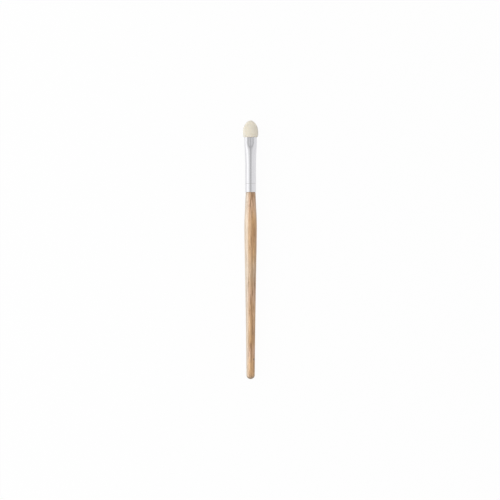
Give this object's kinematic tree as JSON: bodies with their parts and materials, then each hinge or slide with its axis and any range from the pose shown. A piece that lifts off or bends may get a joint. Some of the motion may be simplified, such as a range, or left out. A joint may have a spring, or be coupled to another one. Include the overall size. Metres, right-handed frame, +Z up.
{
  "type": "sponge applicator",
  "caption": "Slim eye make-up applicator: a turned wooden handle with a soft belly, an aluminium ferrule pressed flat at its mouth, and a rounded foam sponge tip for blending powder.",
  "frame": {"origin": "bottom centre of the bounding box: on the plane under the belly of the lying handle, on the handle's axis line, midway between the butt and the tip of the sponge", "axes": "+Y along the handle from the butt towards the sponge tip, +Z up and square to the flat of the ferrule's mouth and of the sponge, +X across the sponge's width"},
  "size_m": [0.0098, 0.1649, 0.008],
  "materials": {
    "wood": "matte",
    "ferrule_metal": "satin",
    "foam": "matte",
    "paddle_plastic": "satin",
    "glue": "gloss"
  },
  "bodies": {
    "root": {"handle": "wood", "ferrule": "ferrule_metal", "sponge_front": "foam", "sponge_back": "foam", "core_paddle": "paddle_plastic", "paddle_glue_plug": "glue", "handle_glue_bead": "glue"}
  },
  "joints": []
}
